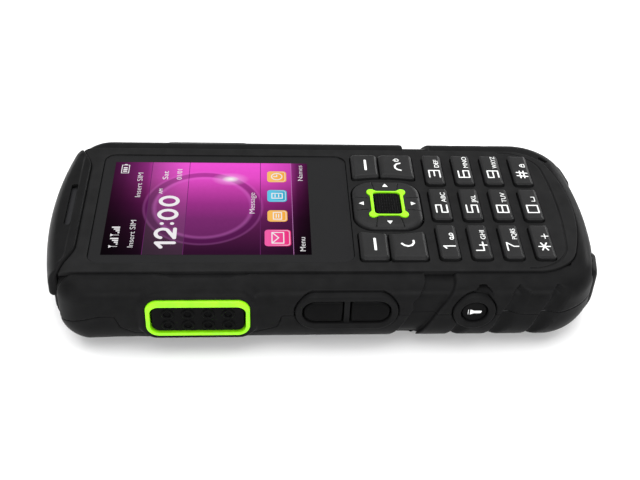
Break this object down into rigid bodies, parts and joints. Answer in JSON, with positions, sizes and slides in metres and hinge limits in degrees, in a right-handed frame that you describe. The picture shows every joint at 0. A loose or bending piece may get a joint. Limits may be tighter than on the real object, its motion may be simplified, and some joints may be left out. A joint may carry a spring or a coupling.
{
  "type": "rugged mobile phone",
  "caption": "Rugged bar phone with colour display, raised keypad, tilting navigation ring, push-to-talk and side keys, hinged port cover and lift-off battery cover.",
  "frame": {"origin": "middle of the phone's footprint on the surface it lies on, back down", "axes": "+X to the phone's right-hand side, +Y along the phone towards the earpiece, +Z out of the face; the push-to-talk key is on the -X side"},
  "size_m": [0.0636, 0.135, 0.0217],
  "materials": {
    "shell_black": "fine moulded texture, satin",
    "plate_black": "smooth satin",
    "rubber_black": "matt",
    "key_black": "satin",
    "side_key_black": "satin",
    "lime_green": "semi-gloss",
    "window": "polished",
    "display": "lit picture",
    "mesh_grey": "satin",
    "board_green": "solder mask",
    "tin": "satin",
    "steel": "satin",
    "gold": "bright",
    "silicone_grey": "matt",
    "dome_film": "clear film over steel domes",
    "battery_wrap": "plain wrap",
    "module_black": "matt",
    "lens_clear": "polished",
    "led_yellow": "phosphor"
  },
  "bodies": {
    "chassis": {"front_shell": "shell_black", "rear_shell": "shell_black", "face_plate": "plate_black", "top_cap": "shell_black", "bottom_bumper": "rubber_black", "shell_gasket": "silicone_grey", "case_screws": "steel", "display_window": "window", "lcd_module": "display", "earpiece_mesh": "mesh_grey", "earpiece_speaker": "module_black", "keypad_mat": "silicone_grey", "dome_sheet": "dome_film", "keypad_board": "board_green", "main_board": "board_green", "shield_cans": "tin", "side_switches": "tin", "talk_bezel": "lime_green", "volume_surround": "shell_black", "torch_surround": "shell_black", "torch_led": "led_yellow", "torch_lens": "lens_clear", "battery": "battery_wrap", "battery_contacts": "gold", "card_sockets": "tin", "camera_module": "module_black", "camera_window": "window", "loudspeaker": "module_black", "vibration_motor": "steel", "antenna": "gold", "usb_port": "tin", "headset_jack": "module_black"},
    "key_1": {"key_1": "key_black"},
    "key_2": {"key_2": "key_black"},
    "key_3": {"key_3": "key_black"},
    "key_4": {"key_4": "key_black"},
    "key_5": {"key_5": "key_black"},
    "key_6": {"key_6": "key_black"},
    "key_7": {"key_7": "key_black"},
    "key_8": {"key_8": "key_black"},
    "key_9": {"key_9": "key_black"},
    "key_star": {"key_star": "key_black"},
    "key_0": {"key_0": "key_black"},
    "key_hash": {"key_hash": "key_black"},
    "left_soft_key": {"left_soft_key": "key_black"},
    "right_soft_key": {"right_soft_key": "key_black"},
    "call_key": {"call_key": "key_black"},
    "end_key": {"end_key": "key_black"},
    "ok_key": {"ok_key": "key_black"},
    "nav_web": {"nav_web": "silicone_grey"},
    "nav_key": {"nav_ring": "key_black", "nav_trim": "lime_green"},
    "talk_key": {"talk_key": "side_key_black"},
    "volume_up_key": {"volume_up_key": "side_key_black"},
    "volume_down_key": {"volume_down_key": "side_key_black"},
    "torch_key": {"torch_key": "side_key_black"},
    "battery_cover": {"battery_cover": "shell_black"},
    "cover_lock_left": {"cover_lock_left": "steel"},
    "cover_lock_right": {"cover_lock_right": "steel"},
    "port_cover": {"port_cover": "rubber_black"}
  },
  "joints": [
    {"name": "key_1_press", "type": "slide", "parent": "chassis", "child": "key_1", "axis": [0, 0, -1], "range_m": [0, 0.0006], "stiffness_N_per_m": 1500, "springref_m": -0.0003},
    {"name": "key_2_press", "type": "slide", "parent": "chassis", "child": "key_2", "axis": [0, 0, -1], "range_m": [0, 0.0006], "stiffness_N_per_m": 1500, "springref_m": -0.0003},
    {"name": "key_3_press", "type": "slide", "parent": "chassis", "child": "key_3", "axis": [0, 0, -1], "range_m": [0, 0.0006], "stiffness_N_per_m": 1500, "springref_m": -0.0003},
    {"name": "key_4_press", "type": "slide", "parent": "chassis", "child": "key_4", "axis": [0, 0, -1], "range_m": [0, 0.0006], "stiffness_N_per_m": 1500, "springref_m": -0.0003},
    {"name": "key_5_press", "type": "slide", "parent": "chassis", "child": "key_5", "axis": [0, 0, -1], "range_m": [0, 0.0006], "stiffness_N_per_m": 1500, "springref_m": -0.0003},
    {"name": "key_6_press", "type": "slide", "parent": "chassis", "child": "key_6", "axis": [0, 0, -1], "range_m": [0, 0.0006], "stiffness_N_per_m": 1500, "springref_m": -0.0003},
    {"name": "key_7_press", "type": "slide", "parent": "chassis", "child": "key_7", "axis": [0, 0, -1], "range_m": [0, 0.0006], "stiffness_N_per_m": 1500, "springref_m": -0.0003},
    {"name": "key_8_press", "type": "slide", "parent": "chassis", "child": "key_8", "axis": [0, 0, -1], "range_m": [0, 0.0006], "stiffness_N_per_m": 1500, "springref_m": -0.0003},
    {"name": "key_9_press", "type": "slide", "parent": "chassis", "child": "key_9", "axis": [0, 0, -1], "range_m": [0, 0.0006], "stiffness_N_per_m": 1500, "springref_m": -0.0003},
    {"name": "key_star_press", "type": "slide", "parent": "chassis", "child": "key_star", "axis": [0, 0, -1], "range_m": [0, 0.0006], "stiffness_N_per_m": 1500, "springref_m": -0.0003},
    {"name": "key_0_press", "type": "slide", "parent": "chassis", "child": "key_0", "axis": [0, 0, -1], "range_m": [0, 0.0006], "stiffness_N_per_m": 1500, "springref_m": -0.0003},
    {"name": "key_hash_press", "type": "slide", "parent": "chassis", "child": "key_hash", "axis": [0, 0, -1], "range_m": [0, 0.0006], "stiffness_N_per_m": 1500, "springref_m": -0.0003},
    {"name": "left_soft_key_press", "type": "slide", "parent": "chassis", "child": "left_soft_key", "axis": [0, 0, -1], "range_m": [0, 0.0006], "stiffness_N_per_m": 1500, "springref_m": -0.0003},
    {"name": "right_soft_key_press", "type": "slide", "parent": "chassis", "child": "right_soft_key", "axis": [0, 0, -1], "range_m": [0, 0.0006], "stiffness_N_per_m": 1500, "springref_m": -0.0003},
    {"name": "call_key_press", "type": "slide", "parent": "chassis", "child": "call_key", "axis": [0, 0, -1], "range_m": [0, 0.0006], "stiffness_N_per_m": 1500, "springref_m": -0.0003},
    {"name": "end_key_press", "type": "slide", "parent": "chassis", "child": "end_key", "axis": [0, 0, -1], "range_m": [0, 0.0006], "stiffness_N_per_m": 1500, "springref_m": -0.0003},
    {"name": "ok_key_press", "type": "slide", "parent": "chassis", "child": "ok_key", "axis": [0, 0, -1], "range_m": [0, 0.0005], "stiffness_N_per_m": 1500, "springref_m": -0.0003},
    {"name": "nav_left_right", "type": "hinge", "parent": "chassis", "child": "nav_web", "pos_m": [0, -0.015, 0.0153], "axis": [0, 1, 0], "range_deg": [-1.5, 1.5], "stiffness_Nm_per_rad": 1.2},
    {"name": "nav_up_down", "type": "hinge", "parent": "nav_web", "child": "nav_key", "pos_m": [0, -0.015, 0.0153], "axis": [1, 0, 0], "range_deg": [-1.5, 1.5], "stiffness_Nm_per_rad": 1.2},
    {"name": "talk_key_press", "type": "slide", "parent": "chassis", "child": "talk_key", "axis": [1, 0, 0], "range_m": [0, 0.0006], "stiffness_N_per_m": 2000, "springref_m": -0.0003},
    {"name": "volume_up_key_press", "type": "slide", "parent": "chassis", "child": "volume_up_key", "axis": [1, 0, 0], "range_m": [0, 0.0005], "stiffness_N_per_m": 2000, "springref_m": -0.0003},
    {"name": "volume_down_key_press", "type": "slide", "parent": "chassis", "child": "volume_down_key", "axis": [1, 0, 0], "range_m": [0, 0.0005], "stiffness_N_per_m": 2000, "springref_m": -0.0003},
    {"name": "torch_key_press", "type": "slide", "parent": "chassis", "child": "torch_key", "axis": [1, 0, 0], "range_m": [0, 0.0005], "stiffness_N_per_m": 2000, "springref_m": -0.0003},
    {"name": "battery_cover_off", "type": "slide", "parent": "chassis", "child": "battery_cover", "axis": [0, 0, -1], "range_m": [0, 0.025]},
    {"name": "cover_lock_left_turn", "type": "hinge", "parent": "battery_cover", "child": "cover_lock_left", "pos_m": [-0.015, -0.0505, 0.001], "axis": [0, 0, 1], "range_deg": [0, 90]},
    {"name": "cover_lock_right_turn", "type": "hinge", "parent": "battery_cover", "child": "cover_lock_right", "pos_m": [0.015, -0.0505, 0.001], "axis": [0, 0, 1], "range_deg": [0, 90]},
    {"name": "port_cover_hinge", "type": "hinge", "parent": "chassis", "child": "port_cover", "pos_m": [0.03075, 0.01855, 0.0122], "axis": [0, 0, -1], "range_deg": [0, 100]}
  ]
}
